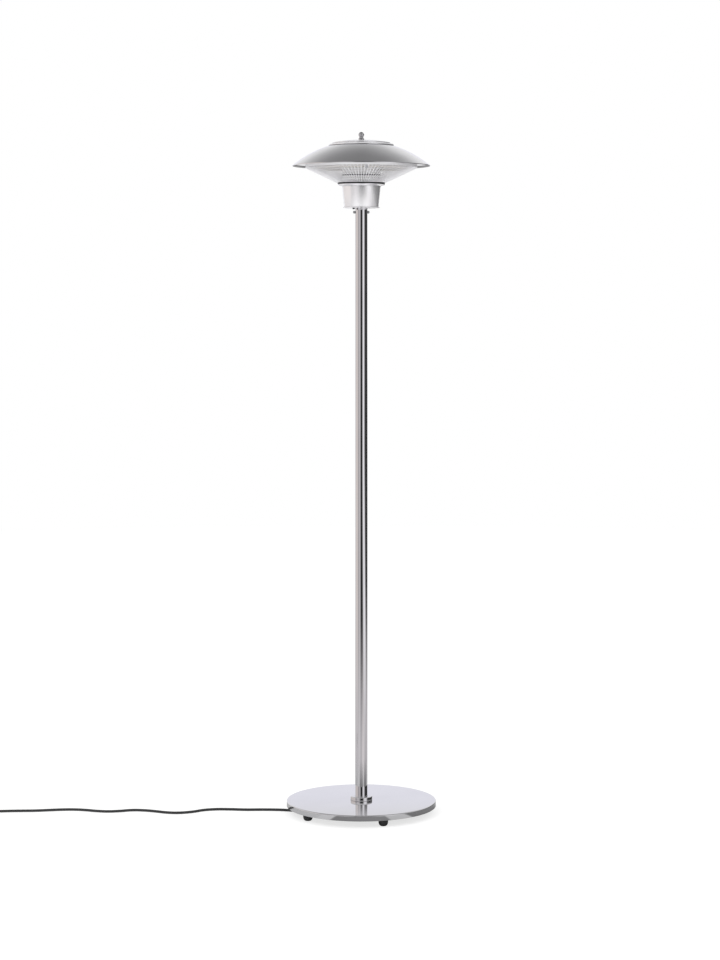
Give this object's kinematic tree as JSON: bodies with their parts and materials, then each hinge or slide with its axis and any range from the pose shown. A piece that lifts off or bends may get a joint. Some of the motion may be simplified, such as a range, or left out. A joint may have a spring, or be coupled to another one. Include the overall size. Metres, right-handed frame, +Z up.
{
  "type": "patio heater",
  "caption": "Free-standing infrared patio heater: mushroom head with a ring lamp behind a wire grille, on a straight polished pole with a weighted disc base and a mains cord.",
  "frame": {"origin": "on the floor, under the middle of the base disc and the pole", "axes": "+Z up along the pole, -Y towards the front, +X to the right seen from the front"},
  "size_m": [1.4668, 0.46, 2.1005],
  "materials": {
    "polished_steel": "mirror polished stainless steel",
    "satin_steel": "satin stainless steel",
    "bright_aluminium": "bright rolled reflector sheet",
    "cast_iron": "plain casting",
    "zinc_steel": "zinc plated steel",
    "screw_steel": "darkened steel",
    "black_rubber": "matt",
    "cord_sheath": "satin cord sheath",
    "black_plastic": "fine matt",
    "ceramic": "unglazed ceramic",
    "lamp_glass": "amber coated quartz glass",
    "lead_sleeve": "woven glass sleeve",
    "black_seal": "matt"
  },
  "bodies": {
    "tower": {"base_collar": "polished_steel", "base_cover": "polished_steel", "base_weight": "cast_iron", "cap_nut": "polished_steel", "cap_spacer_1": "zinc_steel", "cap_spacer_2": "zinc_steel", "cap_spacer_3": "zinc_steel", "cap_spacer_4": "zinc_steel", "cap_tray": "satin_steel", "cord_clamp": "black_plastic", "cord_clamp_screw": "zinc_steel", "cord_coil": "cord_sheath", "cord_run": "cord_sheath", "cup_base_plate": "satin_steel", "cup_bolt_1": "zinc_steel", "cup_bolt_2": "zinc_steel", "cup_housing": "satin_steel", "drum_seal": "black_seal", "foot_1": "black_rubber", "foot_2": "black_rubber", "foot_3": "black_rubber", "foot_4": "black_rubber", "foot_5": "black_rubber", "foot_screw_1": "zinc_steel", "foot_screw_2": "zinc_steel", "foot_screw_3": "zinc_steel", "foot_screw_4": "zinc_steel", "foot_screw_5": "zinc_steel", "gasket": "black_seal", "grille": "zinc_steel", "halogen_lamp": "lamp_glass", "head_mount": "zinc_steel", "head_plate": "satin_steel", "heat_reflector": "bright_aluminium", "lamp_clip_1": "zinc_steel", "lamp_clip_2": "zinc_steel", "lamp_clip_3": "zinc_steel", "lamp_holder_1": "ceramic", "lamp_holder_2": "ceramic", "lamp_lead_1": "lead_sleeve", "lamp_lead_2": "lead_sleeve", "mains_cable": "cord_sheath", "mains_plug": "black_plastic", "pedestal": "bright_aluminium", "pole": "polished_steel", "pole_foot": "zinc_steel", "pole_foot_screw_1": "zinc_steel", "pole_foot_screw_2": "zinc_steel", "pole_foot_screw_3": "zinc_steel", "pole_screw_left": "screw_steel", "pole_screw_right": "screw_steel", "reflector_drum": "bright_aluminium", "shade": "satin_steel", "strain_relief": "cord_sheath", "switch_body": "black_plastic", "terminal_block": "ceramic", "tie_rod": "zinc_steel", "tie_rod_nut": "zinc_steel", "top_cap": "satin_steel"},
    "button": {"push_button": "black_plastic"}
  },
  "joints": [
    {"name": "push_button_press", "type": "slide", "parent": "tower", "child": "button", "axis": [0, 0, 1], "range_m": [0, 0.0025], "stiffness_N_per_m": 300, "springref_m": -0.002}
  ]
}
